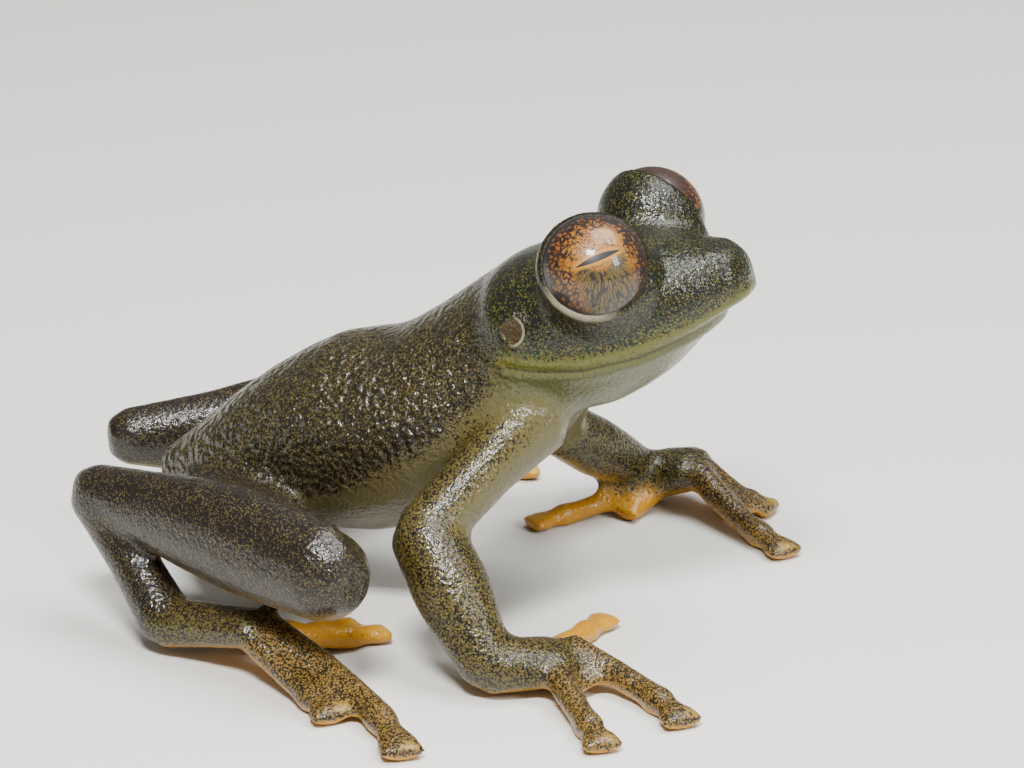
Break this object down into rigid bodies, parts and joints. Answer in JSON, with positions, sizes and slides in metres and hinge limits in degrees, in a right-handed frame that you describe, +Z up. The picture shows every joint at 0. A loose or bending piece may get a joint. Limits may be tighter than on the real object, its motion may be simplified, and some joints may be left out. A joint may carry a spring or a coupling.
{
  "type": "glass frog model",
  "caption": "Life-size still model of a glass frog sitting with its chest raised, its long legs folded and its fingers and toes spread on the floor.",
  "frame": {"origin": "middle of the bounding box's footprint, on the floor that the frog sits on", "axes": "+Z up, the head looks along -Y, +X is the frog's left, and the longest extent is from the toes of one side to those of the other"},
  "size_m": [0.0422, 0.0344, 0.0204],
  "materials": {
    "head_skin": "moist olive frog skin, stippled black",
    "throat_skin": "moist pale throat skin",
    "back_skin": "moist granular brown frog skin",
    "limb_skin": "moist stippled limb skin",
    "digit_skin": "moist orange-yellow skin of fingers and toes",
    "eye": "clear wet cornea over a copper iris"
  },
  "bodies": {
    "root": {"head": "head_skin", "lower_jaw": "throat_skin", "right_eye": "eye", "left_eye": "eye", "torso": "back_skin", "right_upper_arm": "limb_skin", "right_forearm": "limb_skin", "right_hand": "limb_skin", "right_finger_1": "digit_skin", "right_finger_2": "digit_skin", "right_finger_3": "digit_skin", "right_finger_4": "digit_skin", "left_upper_arm": "limb_skin", "left_forearm": "limb_skin", "left_hand": "limb_skin", "left_finger_1": "digit_skin", "left_finger_2": "digit_skin", "left_finger_3": "digit_skin", "left_finger_4": "digit_skin", "right_thigh": "limb_skin", "right_shank": "limb_skin", "right_tarsus": "limb_skin", "right_foot": "limb_skin", "right_toe_1": "digit_skin", "right_toe_2": "digit_skin", "right_toe_3": "digit_skin", "right_toe_4": "digit_skin", "right_toe_5": "digit_skin", "left_thigh": "limb_skin", "left_shank": "limb_skin", "left_tarsus": "limb_skin", "left_foot": "limb_skin", "left_toe_1": "digit_skin", "left_toe_2": "digit_skin", "left_toe_3": "digit_skin", "left_toe_4": "digit_skin", "left_toe_5": "digit_skin"}
  },
  "joints": []
}
